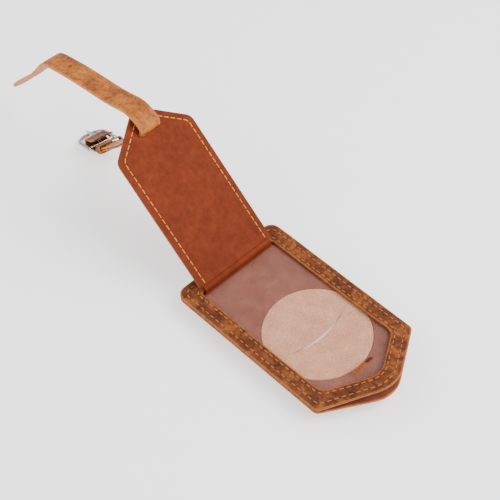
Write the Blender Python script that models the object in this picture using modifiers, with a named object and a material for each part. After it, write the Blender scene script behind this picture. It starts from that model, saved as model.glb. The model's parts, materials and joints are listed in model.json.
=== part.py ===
"""Leather luggage tag with a pocket for a round radio tracker.

A home-plate shaped body lies on the round pouch under it, that holds the tracker. The body is a
window frame over a back panel, open between them at the pointed nose, with a clear sheet under
the frame. A suede disc with a curved slit closes the pouch. A lined flap, hinged at the straight
end, stands open and leans back. A strap of two layers runs through the flap's slot: its long tail
lies over the flap's tip, and its other end hangs down to a small centre-bar buckle.

+X runs from the hinge end to the nose, +Y to the left, +Z up. The origin is the centre of the
pouch's flat underside, on the axis of the tracker. Lengths are in metres.
"""

import math

import bmesh
import bpy
import numpy as np
from mathutils import Matrix, Vector

MM = 0.001

# The body, counted from the hinge end along X.
DISC_CENTRE = 60.1 * MM  # hinge end to the axis of the disc and the tracker
HALF_WIDTH = 30.8 * MM
NOSE_VERTEX = 107.3 * MM  # where the two nose edges would meet
NOSE_SLOPE = 0.6  # drop in X for each unit of |Y| along a nose edge
BORDER = 8.4 * MM  # width of the window frame
FLAT_END = 60.0 * MM  # the frame starts to lift here
LIFT = 6.0 * MM  # how far the frame stands open at the nose
LIFT_SPAN = 44.7 * MM

# The stack, bottom to top.
POUCH_DEPTH = 5.95 * MM  # floor to the underside of the pouch's flange
FLANGE = 0.9 * MM
BACK_Z = (7.0 * MM, 8.0 * MM)
SHEET_Z = (8.15 * MM, 8.4 * MM)
FRAME_Z = (8.6 * MM, 10.0 * MM)

# The round pocket and the tracker.
DISC_R = 25.0 * MM
POUCH_R = 17.5 * MM
FLANGE_R = 29.0 * MM
TRACKER_R = 16.0 * MM
SLIT_HALF = 17.1 * MM
SLIT_BOW = 3.1 * MM
SLIT_GAPE = 1.3 * MM

# The flap, counted from its hinge.
HINGE_FROM_END = 8.76 * MM
HINGE_Z = 11.3 * MM
FLAP_OPEN = math.radians(140.0)  # 0 is shut on the window
FLAP_HALF = 22.1 * MM
FLAP_CORNER = 69.1 * MM
FLAP_VERTEX = 87.0 * MM
FLAP_START = 1.6 * MM
OUTER_T = 1.15 * MM
LINING_T = 1.05 * MM
SLOT_AT = 74.3 * MM
SLOT = (2.6 * MM, 13.0 * MM)
WINDOW_SLOT_AT = 87.5 * MM
WINDOW_SLOT = (2.4 * MM, 13.0 * MM)

# The strap.
STRAP_W = 11.6 * MM
LAYER = 0.93 * MM  # one of its two layers
LAYER_GAP = 0.14 * MM
BEND_R = 3.2 * MM  # centre line, where the strap comes out of the slot
SLOT_BACK = 3.2 * MM  # how far the piece in the slot stands out behind
SLOT_TURN = 100.0  # degrees
TAIL = 66.4 * MM  # slot to the crest
TAIL_TURNS = ((0, 0), (14, 43), (33.2, 35), (66.4, 41))  # mm along it, degrees
TIP = 59.2 * MM
TIP_TURNS = ((0, 0), (12, 40.2), (59.2, 30))
HOLE_R = 1.2 * MM
HOLE_AT = 57.5 * MM
TIP_HOLE_AT = 16.5 * MM
LEG = 78.5 * MM  # slot to the loop at the buckle
LEG_TURNS = ((0, 0), (26, -1), (34, -6), (63.5, -6), (73.5, -30), (78.5, -34))
LOOP_R = 1.9 * MM
LOOP_TURN = 168.0  # degrees
RETURN = 12.0 * MM
RETURN_TURNS = ((0, 0), (12, 15))
LINING_END = 67.0 * MM
BAR_AT = 72.5 * MM
KEEPER_AT = 60.0 * MM
KEEPER_OVER = 1.7 * MM
KEEPER_W = 5.0 * MM

# The buckle.
BUCKLE_YAW = math.radians(9.4)
BAR_R = 0.9 * MM
BUCKLE_T = 1.8 * MM
BUCKLE_FRONT = 17.0 * MM  # bar to the outside of the front
BUCKLE_HALF = 8.6 * MM
BUCKLE_RAIL = 2.0 * MM


# ---------------------------------------------------------------- the stage


def collection(name):
    """A collection linked to the scene."""
    c = bpy.data.collections.new(name)
    bpy.context.scene.collection.children.link(c)
    return c


def material(name, rgb, roughness, metallic=0.0, alpha=1.0):
    """A Principled material."""
    m = bpy.data.materials.new(name)
    m.use_nodes = True
    p = m.node_tree.nodes["Principled BSDF"]
    p.inputs["Base Color"].default_value = (*rgb, 1.0)
    p.inputs["Roughness"].default_value = roughness
    p.inputs["Metallic"].default_value = metallic
    p.inputs["Alpha"].default_value = alpha
    return m


def put(name, data, mat, where, parent=None):
    """An object of this data in a collection, with its material."""
    o = bpy.data.objects.new(name, data)
    where.objects.link(o)
    data.materials.append(mat)
    o.parent = parent
    return o


def empty(name, where, loc, rot=(0, 0, 0), parent=None):
    """An axis: an empty that moving pieces hang from."""
    o = bpy.data.objects.new(name, None)
    where.objects.link(o)
    o.empty_display_size = 0.01
    o.location = loc
    o.rotation_euler = rot
    o.parent = parent
    return o


# ---------------------------------------------------------------- outlines


def fillet(corners, radii, steps):
    """The polygon with each corner rounded to its radius, steps + 1 points to an arc."""
    out = []
    n = len(corners)
    for i, r in enumerate(radii):
        p, a, b = (Vector(corners[k % n]) for k in (i, i - 1, i + 1))
        da, db = (a - p).normalized(), (b - p).normalized()
        half = da.angle(db) / 2
        centre = p + (da + db).normalized() * (r / math.sin(half))
        t = r / math.tan(half)
        start, end = p + da * t - centre, p + db * t - centre
        turn = math.atan2(start.cross(end), start.dot(end))
        for k in range(steps + 1):
            c, s = math.cos(turn * k / steps), math.sin(turn * k / steps)
            v = Vector((c * start.x - s * start.y, s * start.x + c * start.y))
            out.append(tuple(centre + v))
    return out


def body_outline(inset, radii, steps=6):
    """The home plate, moved in by inset: hinge corners, nose corners and nose rounded."""
    w = HALF_WIDTH - inset
    tip = NOSE_VERTEX - inset / math.cos(math.atan(NOSE_SLOPE)) - DISC_CENTRE
    end = inset - DISC_CENTRE
    shoulder = tip - NOSE_SLOPE * w
    corners = [(end, -w), (shoulder, -w), (tip, 0.0), (shoulder, w), (end, w)]
    hinge, nose, point = radii
    return fillet(corners, [hinge, nose, point, nose, hinge], steps)


def circle(r, n=56, centre=(0.0, 0.0)):
    """n points around a circle."""
    return [(centre[0] + r * math.cos(2 * math.pi * k / n),
             centre[1] + r * math.sin(2 * math.pi * k / n)) for k in range(n)]


def slot_outline(x, size):
    """A round-ended slot across the part, centred at x."""
    r, h = size[0] / 2, size[1] / 2 - size[0] / 2
    top = [(x + r * math.cos(a), h + r * math.sin(a)) for a in np.linspace(0, math.pi, 7)]
    return top + [(2 * x - px, -py) for px, py in top]


def plate(name, loops, z0, z1, mat, where, parent=None):
    """A flat piece between two heights: the first loop is its edge, the others are holes."""
    c = bpy.data.curves.new(name, "CURVE")
    c.dimensions = "2D"
    c.fill_mode = "BOTH"
    c.extrude = (z1 - z0) / 2
    for loop in loops:
        s = c.splines.new("POLY")
        s.points.add(len(loop) - 1)
        for point, (x, y) in zip(s.points, loop):
            point.co = (x, y, 0, 1)
        s.use_cyclic_u = True
    o = put(name, c, mat, where, parent)
    o.location = (0, 0, (z0 + z1) / 2)
    return o


def turned(name, profile, mat, where, segments=48, parent=None):
    """A turned piece: a profile in XZ, running down its outer side, swept about Z."""
    bm = bmesh.new()
    vs = [bm.verts.new((r, 0, z)) for r, z in profile]
    for a, b in zip(vs, vs[1:]):
        bm.edges.new((a, b))
    if profile[0][0] > 0 and profile[-1][0] > 0:
        bm.edges.new((vs[-1], vs[0]))
    me = bpy.data.meshes.new(name)
    bm.to_mesh(me)
    bm.free()
    o = put(name, me, mat, where, parent)
    s = o.modifiers.new("Screw", "SCREW")
    s.axis = "Z"
    s.steps = s.render_steps = segments
    s.use_merge_vertices = True
    s.merge_threshold = 0.00002
    s.use_normal_calculate = False
    s.use_smooth_shade = True
    return o


def grid(name, pts, mat, where, thickness, offset=-1.0, parent=None):
    """A sheet: rows of points joined to a surface, thickened with Solidify."""
    rows, cols = len(pts), len(pts[0])
    bm = bmesh.new()
    vs = [[bm.verts.new(p) for p in row] for row in pts]
    for i in range(rows - 1):
        for j in range(cols - 1):
            bm.faces.new((vs[i][j], vs[i + 1][j], vs[i + 1][j + 1], vs[i][j + 1]))
    me = bpy.data.meshes.new(name)
    bm.to_mesh(me)
    bm.free()
    o = put(name, me, mat, where, parent)
    s = o.modifiers.new("Solidify", "SOLIDIFY")
    s.thickness = thickness
    s.offset = offset
    s.use_even_offset = True
    return o


def cut(o, cutter):
    """Cuts one solid from another; the cutter stays as a hidden guide."""
    b = o.modifiers.new("Cut", "BOOLEAN")
    b.operation = "DIFFERENCE"
    b.solver = "EXACT"
    b.object = cutter
    cutter.hide_render = True
    cutter.display_type = "WIRE"


def slot_cutter(name, x, size, z0, z1, where, parent=None):
    """A closed round-ended bar, to cut a slot with."""
    bm = bmesh.new()
    face = bm.faces.new([bm.verts.new((px, py, z0)) for px, py in slot_outline(x, size)])
    top = bmesh.ops.extrude_face_region(bm, geom=[face])["geom"]
    bmesh.ops.translate(bm, vec=(0, 0, z1 - z0),
                        verts=[v for v in top if isinstance(v, bmesh.types.BMVert)])
    bmesh.ops.recalc_face_normals(bm, faces=bm.faces)
    me = bpy.data.meshes.new(name)
    bm.to_mesh(me)
    bm.free()
    o = bpy.data.objects.new(name, me)
    where.objects.link(o)
    o.parent = parent
    return o


# ---------------------------------------------------------------- the body


def lift(x, y):
    """How far the frame stands open: nothing up to FLAT_END, LIFT at the nose's middle."""
    along = max(0.0, (x + DISC_CENTRE - FLAT_END) / LIFT_SPAN)
    across = max(0.0, 1 - (y / (HALF_WIDTH + 0.2 * MM)) ** 2)
    return LIFT * along ** 1.5 * across


def resample(loop, counts, steps):
    """The rounded outline with its straight runs cut into counts pieces each."""
    out = []
    n = len(loop)
    for i, count in enumerate(counts):
        arc = loop[i * (steps + 1):(i + 1) * (steps + 1)]
        out += arc
        a, b = arc[-1], loop[((i + 1) * (steps + 1)) % n]
        for k in range(1, count):
            t = k / count
            out.append((a[0] * (1 - t) + b[0] * t, a[1] * (1 - t) + b[1] * t))
    return out


def front_frame(mats, where):
    """The window frame: a band between two home plates, lifted at the nose."""
    steps, counts = 6, (10, 5, 5, 10, 4)
    outer = resample(body_outline(0.0, (5 * MM, 3 * MM, 15.6 * MM), steps), counts, steps)
    inner = resample(body_outline(BORDER, (1.5 * MM, 6 * MM, 10 * MM), steps), counts, steps)
    rows = []
    for t in (0.0, 0.5, 1.0):
        row = [(a[0] * (1 - t) + b[0] * t, a[1] * (1 - t) + b[1] * t)
               for a, b in zip(outer, inner)]
        rows.append([(x, y, FRAME_Z[1] + lift(x, y)) for x, y in row])
    bm = bmesh.new()
    vs = [[bm.verts.new(p) for p in row] for row in rows]
    n = len(outer)
    for i in range(len(rows) - 1):
        for j in range(n):
            k = (j + 1) % n
            bm.faces.new((vs[i][j], vs[i][k], vs[i + 1][k], vs[i + 1][j]))
    me = bpy.data.meshes.new("front_frame")
    bm.to_mesh(me)
    bm.free()
    o = put("front_frame", me, mats["leather"], where)
    s = o.modifiers.new("Solidify", "SOLIDIFY")
    s.thickness = FRAME_Z[1] - FRAME_Z[0]
    s.offset = -1.0
    return o


def half_width_at(x, inset, radius=4 * MM):
    """Half the home plate's width at x, its shoulder eased."""
    w = HALF_WIDTH - inset
    tip = NOSE_VERTEX - inset / math.cos(math.atan(NOSE_SLOPE)) - DISC_CENTRE
    d = (tip - x) / NOSE_SLOPE
    return 0.5 * (w + d - math.sqrt((w - d) ** 2 + radius ** 2))


def clear_window(mats, where, cutters):
    """The clear sheet under the frame, with the strap's slot near the nose."""
    inset = 4.6 * MM
    first, last = 10.5 * MM - DISC_CENTRE, 100.2 * MM - DISC_CENTRE
    xs = [first + (last - first) * (k / 20) for k in range(21)]
    pts = []
    for x in xs:
        w = half_width_at(x, inset)
        pts.append([(x, w * t, SHEET_Z[1] + lift(x, w * t))
                    for t in (-1, -0.66, -0.33, 0, 0.33, 0.66, 1)])
    o = grid("clear_window", pts, mats["clear"], where, SHEET_Z[1] - SHEET_Z[0])
    cut(o, slot_cutter("sheet_slot_cutter", WINDOW_SLOT_AT - DISC_CENTRE, WINDOW_SLOT,
                       6 * MM, 18 * MM, cutters))
    return o


def back_panel(mats, where):
    """The back panel: round hole for the suede disc, and the strap's slot."""
    outer = body_outline(0.0, (5 * MM, 3 * MM, 15.6 * MM), 6)
    slot = slot_outline(WINDOW_SLOT_AT - DISC_CENTRE, WINDOW_SLOT)
    return plate("back_panel", [outer, circle(DISC_R + 0.25 * MM, 64), slot],
                 *BACK_Z, mats["suede"], where)


def slit_disc(mats, where):
    """The round suede patch: a bowed slit, pointed at both ends, that gapes in the middle."""
    def edge(sign, n=12):
        pts = []
        for k in range(n + 1):
            t = -1 + 2 * k / n
            y = SLIT_HALF * t
            x = SLIT_BOW * (1 - t * t) - 0.5 * MM + sign * SLIT_GAPE / 2 * (1 - t * t)
            pts.append((x, y))
        return pts
    slit = edge(1) + edge(-1)[::-1][1:-1]
    return plate("slit_disc", [circle(DISC_R - 0.05 * MM, 64), slit],
                 BACK_Z[0] + 0.05 * MM, BACK_Z[1] - 0.1 * MM, mats["disc"], where)


def rear_pouch(mats, where):
    """The moulded cup that holds the tracker, with the flange it is sewn on by."""
    rim = POUCH_DEPTH + FLANGE
    inner = TRACKER_R + 0.45 * MM
    profile = [(0, 0.9 * MM), (inner - 1.2 * MM, 0.9 * MM), (inner, 1.7 * MM),
               (inner, rim - 0.6 * MM), (inner + 0.7 * MM, rim), (FLANGE_R, rim),
               (FLANGE_R, POUCH_DEPTH), (POUCH_R + 0.6 * MM, POUCH_DEPTH),
               (POUCH_R, POUCH_DEPTH - 0.8 * MM), (POUCH_R - 0.1 * MM, 1.6 * MM),
               (POUCH_R - 0.9 * MM, 0.35 * MM), (POUCH_R - 2.2 * MM, 0), (0, 0)]
    return turned("rear_pouch", profile, mats["leather"], where)


# ---------------------------------------------------------------- the tracker


def tracker(mats, where):
    """A coin tracker: domed shell, twist-off door, cell, board, sounder and contact."""
    r = TRACKER_R
    turned("tracker_shell", [
        (0, 6.7 * MM), (9 * MM, 6.62 * MM), (13 * MM, 6.4 * MM), (15.2 * MM, 5.9 * MM),
        (r, 4.9 * MM), (r, 2.2 * MM), (15.5 * MM, 1.35 * MM), (14.75 * MM, 1.35 * MM),
        (14.75 * MM, 5.35 * MM), (13 * MM, 5.75 * MM), (0, 5.85 * MM)], mats["shell"], where)
    axis = empty("door_axis", where, (0, 0, 1.4 * MM))
    door = turned("tracker_door", [
        (0, 0.3 * MM), (14.3 * MM, 0.3 * MM), (14.4 * MM, 0.1 * MM), (13.8 * MM, -0.35 * MM),
        (0, -0.35 * MM)], mats["steel"], where, parent=axis)
    turned("coin_cell", [
        (0, 5.15 * MM), (8.4 * MM, 5.15 * MM), (8.7 * MM, 4.9 * MM), (9.7 * MM, 4.75 * MM),
        (10 * MM, 4.4 * MM), (10 * MM, 2.2 * MM), (9.8 * MM, 1.98 * MM), (0, 1.98 * MM)],
        mats["steel"], where, 40)
    plate("circuit_board", [circle(14.3 * MM, 44), circle(10.5 * MM, 36)],
          4.35 * MM, 5.15 * MM, mats["board"], where)
    turned("sounder", [(0, 5.62 * MM), (7 * MM, 5.62 * MM), (7 * MM, 5.4 * MM), (0, 5.4 * MM)],
           mats["brass"], where, 32)
    leaf = [(10.35, 3.3), (10.7, 3.3), (10.75, 3.75), (13.2, 3.85), (13.2, 4.15), (10.4, 4.05)]
    c = plate("cell_contact", [[(x * MM, z * MM) for x, z in leaf]], -1.6 * MM, 1.6 * MM,
              mats["brass"], where)
    c.location = (0, 0, 0)
    c.rotation_euler = (math.pi / 2, 0, 0)
    return door


# ---------------------------------------------------------------- the flap


def flap_fold(mats, where):
    """The skived root of the flap: sewn under the hinge bar, it folds up round the bar's edge."""
    ax, az = HINGE_FROM_END, HINGE_Z
    pts = [(3.0 * MM, 8.15 * MM), (9.5 * MM, 8.15 * MM), (9.95 * MM, 8.6 * MM),
           (9.95 * MM, az - 0.3 * MM)]
    for a in np.linspace(math.radians(-14), math.radians(228), 13):
        pts.append((ax + 1.15 * MM * math.cos(a), az + 1.15 * MM * math.sin(a)))
    pts += [(8.7 * MM, 10.3 * MM), (8.7 * MM, 8.45 * MM), (3.0 * MM, 8.45 * MM)]
    o = plate("flap_fold", [[(x - DISC_CENTRE, z) for x, z in pts]], -20.8 * MM, 20.8 * MM,
              mats["leather"], where)
    o.location = (0, 0, 0)
    o.rotation_euler = (math.pi / 2, 0, 0)
    return o


def flap_outline(start, inset=0.0):
    """The flap's edge: straight sides, rounded shoulders and a rounded point."""
    w = FLAP_HALF - inset
    corners = [(start, -w), (FLAP_CORNER - inset * 0.4, -w), (FLAP_VERTEX - inset * 1.3, 0.0),
               (FLAP_CORNER - inset * 0.4, w), (start, w)]
    return fillet(corners, [0.6 * MM, 5 * MM, 8 * MM, 5 * MM, 0.6 * MM], 6)


def flap(mats, where):
    """The two layers of the flap, on its hinge: shut along +X, turned back to where it stands."""
    axis = empty("flap_axis", where, (HINGE_FROM_END - DISC_CENTRE, 0, HINGE_Z),
                 (0, -FLAP_OPEN, 0))
    slot = slot_outline(SLOT_AT, SLOT)
    plate("flap_outer", [flap_outline(FLAP_START), slot], 0.07 * MM, OUTER_T + 0.07 * MM,
          mats["leather"], where, axis)
    plate("flap_lining", [flap_outline(FLAP_START), slot], -LINING_T - 0.07 * MM, -0.07 * MM,
          mats["lining"], where, axis)
    return axis


# ---------------------------------------------------------------- the strap


def route(start, heading, across, length, bend, step=0.5 * MM):
    """A strip's centre line, bent about its width.

    start is a point, heading and across are unit vectors. bend(s) is the turn away from the
    strip's upper side in radians a metre. Gives the distances, points, headings, widths and
    upper normals.
    """
    n = int(round(length / step))
    ds = length / n
    p, t, w = (np.array(v, dtype=float) for v in (start, heading, across))
    out = [[0.0], [p], [t], [w], [np.cross(w, t)]]
    for i in range(n):
        s = (i + 0.5) * ds
        up = np.cross(w, t)
        a = bend(s) * ds
        mid = t * math.cos(a / 2) - up * math.sin(a / 2)
        t2 = t * math.cos(a) - up * math.sin(a)
        p, t = p + mid * ds, t2 / np.linalg.norm(t2)
        w = w - t * w.dot(t)
        w /= np.linalg.norm(w)
        for k, v in enumerate((s + ds / 2, p, t, w, np.cross(w, t))):
            out[k].append(v)
    return [np.array(v) for v in out]


def at(line, s):
    """The point, heading, width and upper normal at a distance along a route."""
    return [np.array([np.interp(s, line[0], v[:, k]) for k in range(3)]) for v in line[1:]]


def frame_at(line, s, over=0.0):
    """A matrix at a distance along a route: X along it, Y across, Z up."""
    p, t, w, up = at(line, s)
    p = p + up * over
    return Matrix(((t[0], w[0], up[0], p[0]), (t[1], w[1], up[1], p[1]),
                   (t[2], w[2], up[2], p[2]), (0, 0, 0, 1)))


def turns(*knots):
    """The turn rate that takes a heading through (distance in mm, degrees) knots, smoothly."""
    xs = [k[0] * MM for k in knots]
    ys = [math.radians(k[1]) for k in knots]

    def angle(v):
        for x0, y0, x1, y1 in zip(xs, ys, xs[1:], ys[1:]):
            if v <= x1:
                u = max(0.0, (v - x0) / (x1 - x0))
                return y0 + (y1 - y0) * u * u * (3 - 2 * u)
        return ys[-1]
    return lambda s: (angle(s + 0.2 * MM) - angle(s - 0.2 * MM)) / (0.4 * MM)


def ribbon(name, line, mat, where, s0, s1, pieces, over, thickness, round_end=0.0):
    """A strap layer from s0 to s1 of a route, at a height over it; its end may be rounded."""
    half = STRAP_W / 2
    pts = []
    for i in range(pieces + 1):
        f = i / pieces
        s = s0 + (s1 - s0) * (math.sin(f * math.pi / 2) if round_end else f)
        p, t, w, up = at(line, s)
        h = half
        if s1 - s < round_end:
            k = 1 - (s1 - s) / round_end
            h = half * math.sqrt(max(0.0, 1 - 0.93 * k * k))
        pts.append([tuple(p + up * over + w * h * q) for q in (-1, -0.4, 0.4, 1)])
    return grid(name, pts, mat, where, thickness, offset=0.0)


def block(name, size, matrix, where, mat=None):
    """A box primitive of this size, placed by a matrix."""
    bm = bmesh.new()
    bmesh.ops.create_cube(bm, size=1.0)
    bmesh.ops.scale(bm, vec=size, verts=bm.verts)
    me = bpy.data.meshes.new(name)
    bm.to_mesh(me)
    bm.free()
    o = bpy.data.objects.new(name, me)
    where.objects.link(o)
    if mat:
        me.materials.append(mat)
    o.matrix_world = matrix
    return o


def hole(name, line, s, where):
    """A round cutter through the strap, at a distance along its route."""
    bm = bmesh.new()
    bmesh.ops.create_cone(bm, cap_ends=True, segments=14, radius1=HOLE_R, radius2=HOLE_R,
                          depth=6 * MM)
    me = bpy.data.meshes.new(name)
    bm.to_mesh(me)
    bm.free()
    o = bpy.data.objects.new(name, me)
    where.objects.link(o)
    o.matrix_world = frame_at(line, s)
    return o


def on_flap(s, over):
    """A point on the standing flap's middle line: s along it, over its lining side."""
    c, k = math.cos(FLAP_OPEN), math.sin(FLAP_OPEN)
    return np.array([HINGE_FROM_END - DISC_CENTRE + s * c + over * k, 0.0,
                     HINGE_Z + s * k - over * c])


def strap_tail(mats, where, cutters):
    """The piece in the slot, the tail that runs out level, and its drooping tip."""
    out = np.array([math.sin(FLAP_OPEN), 0, -math.cos(FLAP_OPEN)])  # off the lining
    off = (LAYER + LAYER_GAP) / 2
    both = 2 * LAYER + LAYER_GAP

    # The upper side of this route faces the hinge before the bend and up after it.
    straight = SLOT_BACK + LINING_T + 0.35 * MM
    turn = math.radians(SLOT_TURN)
    mid = route(on_flap(SLOT_AT, -SLOT_BACK), out, (0, 1, 0), straight + BEND_R * turn,
                lambda s: 1 / BEND_R if s > straight else 0.0)
    end = mid[0][-1]
    ribbon("strap_in_slot", mid, mats["strap"], where, 0.55 * MM, end - 0.4 * MM, 14, 0.0, both)

    p, t, w, up = at(mid, end)
    tail = route(p, t, w, TAIL, turns(*TAIL_TURNS))
    for name, side in (("tail_face", 1), ("tail_back", -1)):
        o = ribbon(name, tail, mats["strap"], where, 0.4 * MM, TAIL - 0.4 * MM, 24,
                   side * off, LAYER)
        cut(o, hole("cutter_" + name, tail, HOLE_AT, cutters))

    p, t, w, up = at(tail, TAIL)
    tip = route(p, t, w, TIP, turns(*TIP_TURNS))
    for name, side in (("tip_face", 1), ("tip_back", -1)):
        o = ribbon(name, tip, mats["strap"], where, 0.4 * MM, TIP, 24, side * off, LAYER, 6 * MM)
        cut(o, hole("cutter_" + name, tip, TIP_HOLE_AT, cutters))
    empty("tail_axis", where, mid[1][-1])
    empty("tip_axis", where, tail[1][-1])


def buckle_end(mats, where, cutters):
    """The other end of the strap: down to the buckle, round its bar and back over itself."""
    c, s = math.cos(BUCKLE_YAW), math.sin(BUCKLE_YAW)
    down = FLAP_OPEN - math.radians(90)
    heading = np.array([-c * math.cos(down), s * math.cos(down), -math.sin(down)])
    across = np.array([s, c, 0.0])
    arc = LOOP_R * math.radians(LOOP_TURN)

    lead = turns(*LEG_TURNS)
    back = turns(*RETURN_TURNS)

    def bend(v):
        if v < LEG:
            return lead(v)
        return -1 / LOOP_R if v < LEG + arc else back(v - LEG - arc)
    start = on_flap(SLOT_AT, -SLOT_BACK)
    line = route(start, heading, across, LEG + arc + RETURN, bend)
    outer = ribbon("buckle_leg_outer", line, mats["strap"], where, 0.55 * MM,
                   LEG + arc + RETURN, 78, 0.0, LAYER)
    ribbon("buckle_leg_lining", line, mats["strap"], where, 0.55 * MM, LINING_END, 26,
           LAYER + LAYER_GAP, LAYER)

    # The bar lies on the lower leg, inside the loop.
    p, t, w, up = at(line, BAR_AT)
    bar = p + up * (LAYER / 2 + 0.3 * MM + BAR_R)
    drop = bar[2] - (BUCKLE_T / 2) * 0.9 - 0.1 * MM
    tilt = math.asin(drop / (BUCKLE_FRONT - 0.6 * MM))
    fwd = np.array([-c * math.cos(tilt), s * math.cos(tilt), -math.sin(tilt)])
    top = np.cross(w, fwd)
    placed = Matrix(((fwd[0], w[0], top[0], bar[0]), (fwd[1], w[1], top[1], bar[1]),
                     (fwd[2], w[2], top[2], bar[2]), (0, 0, 0, 1)))
    axis = empty("bar_axis", where, (0, 0, 0))
    axis.matrix_world = placed
    cut(outer, block("prong_slot_cutter", (12 * MM, 2.6 * MM, 14 * MM),
                     placed @ Matrix.Translation((7.1 * MM, 0, 1.0 * MM)), cutters))

    # The frame is open behind the bar.
    b, i, r = BUCKLE_HALF, BUCKLE_HALF - BUCKLE_RAIL, -1.9 * MM
    edge = fillet([(r, -b), (BUCKLE_FRONT, -b), (BUCKLE_FRONT, b), (r, b), (r, i),
                   (BUCKLE_FRONT - 2.3 * MM, i), (BUCKLE_FRONT - 2.3 * MM, -i), (r, -i)],
                  [0.9 * MM, 7 * MM, 7 * MM, 0.9 * MM, 0.5 * MM, 4.6 * MM, 4.6 * MM, 0.5 * MM], 6)
    frame = plate("buckle_frame", [edge], -BUCKLE_T / 2, BUCKLE_T / 2, mats["nickel"], where, axis)
    frame.data.extrude = BUCKLE_T / 2 - 0.35 * MM
    frame.data.bevel_depth = 0.35 * MM
    frame.data.bevel_resolution = 1
    frame.data.offset = -0.35 * MM

    rod = turned("buckle_bar", [(0, i - 0.2 * MM), (BAR_R, i - 0.2 * MM), (BAR_R, 0.2 * MM - i),
                                (0, 0.2 * MM - i)], mats["nickel"], where, 16, axis)
    rod.rotation_euler = (math.pi / 2, 0, 0)

    cu = bpy.data.curves.new("buckle_prong", "CURVE")
    cu.dimensions = "3D"
    cu.bevel_depth = 0.7 * MM
    cu.bevel_resolution = 2
    cu.use_fill_caps = True
    sp = cu.splines.new("POLY")
    pts = [(1.75, 0.0), (3.0, 0.75), (5.5, 1.5), (9.0, 2.0), (13.0, 2.0), (16.0, 1.75),
           (17.3, 1.7)]
    sp.points.add(len(pts) - 1)
    for q, (x, z) in zip(sp.points, pts):
        q.co = (x * MM, 0, z * MM, 1)
    put("buckle_prong", cu, mats["nickel"], where, axis)

    # The keeper rides on the two layers, just above the folded end.
    seat = frame_at(line, KEEPER_AT, KEEPER_OVER)
    k = block("keeper_loop", (KEEPER_W, 14.4 * MM, 6.8 * MM), seat, where, mats["strap"])
    cut(k, block("keeper_cutter", (3 * KEEPER_W, 12.5 * MM, 4.9 * MM), seat, cutters))
    empty("leg_axis", where, start)


def build():
    for o in list(bpy.data.objects):
        bpy.data.objects.remove(o)
    for c in list(bpy.data.collections):
        bpy.data.collections.remove(c)
    where, cutters = collection("luggage_tag"), collection("cutters")
    mats = {
        "leather": material("waxed_leather", (0.33, 0.14, 0.055), 0.6),
        "suede": material("brown_suede", (0.22, 0.1, 0.06), 0.9),
        "disc": material("light_suede", (0.55, 0.3, 0.2), 0.9),
        "lining": material("smooth_lining", (0.35, 0.09, 0.03), 0.7),
        "strap": material("strap_leather", (0.5, 0.23, 0.09), 0.6),
        "clear": material("clear_vinyl", (0.9, 0.85, 0.85), 0.1, alpha=0.3),
        "shell": material("white_plastic", (0.9, 0.9, 0.9), 0.3),
        "steel": material("polished_steel", (0.7, 0.7, 0.7), 0.2, 1.0),
        "nickel": material("nickel_plate", (0.75, 0.74, 0.72), 0.25, 1.0),
        "brass": material("brass_leaf", (0.7, 0.5, 0.2), 0.3, 1.0),
        "board": material("circuit_laminate", (0.02, 0.12, 0.05), 0.5),
    }
    back_panel(mats, where)
    front_frame(mats, where)
    clear_window(mats, where, cutters)
    slit_disc(mats, where)
    rear_pouch(mats, where)
    tracker(mats, where)
    flap_fold(mats, where)
    flap(mats, where)
    strap_tail(mats, where, cutters)
    buckle_end(mats, where, cutters)


build()
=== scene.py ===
"""Leather luggage tag with a windowed pocket for a round tracker, its lined flap and stitched strap.

The frame's nodes fix every size and place. Each piece is a surface worked out on a grid, and each
material is built from nodes for one real finish. Lengths are in metres; MM turns millimetres.
"""

import json
import math

import bmesh
import bpy
import numpy as np
from bpy.props import FloatProperty, IntProperty, PointerProperty, StringProperty
from mathutils import Matrix, Vector


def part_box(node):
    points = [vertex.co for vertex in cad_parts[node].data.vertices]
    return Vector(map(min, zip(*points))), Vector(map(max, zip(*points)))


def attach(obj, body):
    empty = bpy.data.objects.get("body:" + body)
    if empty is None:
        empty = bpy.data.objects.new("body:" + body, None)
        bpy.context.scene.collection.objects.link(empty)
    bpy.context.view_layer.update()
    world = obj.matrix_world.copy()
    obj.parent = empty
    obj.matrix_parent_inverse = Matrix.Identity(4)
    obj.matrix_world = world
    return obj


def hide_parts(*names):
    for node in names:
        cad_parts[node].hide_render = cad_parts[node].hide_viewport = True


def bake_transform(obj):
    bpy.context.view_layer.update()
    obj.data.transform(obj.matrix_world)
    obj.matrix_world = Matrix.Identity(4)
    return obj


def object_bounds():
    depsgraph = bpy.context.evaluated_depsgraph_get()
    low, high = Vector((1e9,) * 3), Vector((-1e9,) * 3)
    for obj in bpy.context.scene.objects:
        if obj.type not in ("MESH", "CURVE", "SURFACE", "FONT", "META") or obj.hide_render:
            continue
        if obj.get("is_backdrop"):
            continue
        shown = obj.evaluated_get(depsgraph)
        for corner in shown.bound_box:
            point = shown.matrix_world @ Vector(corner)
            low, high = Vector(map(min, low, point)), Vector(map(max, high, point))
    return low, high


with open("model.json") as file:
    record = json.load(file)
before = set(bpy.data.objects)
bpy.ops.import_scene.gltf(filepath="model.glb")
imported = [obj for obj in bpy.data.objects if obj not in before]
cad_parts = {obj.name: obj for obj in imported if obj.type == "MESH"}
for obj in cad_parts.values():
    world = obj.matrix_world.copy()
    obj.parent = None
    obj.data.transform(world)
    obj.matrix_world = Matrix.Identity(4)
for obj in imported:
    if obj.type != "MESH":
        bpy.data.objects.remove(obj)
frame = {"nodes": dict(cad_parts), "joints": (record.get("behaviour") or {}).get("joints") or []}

bl_info = {
    "name": "Leather Luggage Tag",
    "version": (1, 0, 0),
    "blender": (4, 5, 0),
    "location": "View3D > Sidebar > Luggage Tag",
    "description": "Builds a stitched leather luggage tag with a tracker pocket",
    "category": "Add Mesh",
}

MM = 0.001
RNG = np.random.default_rng(11)
JOINTS = {j["name"]: j for j in frame["joints"]}

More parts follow.
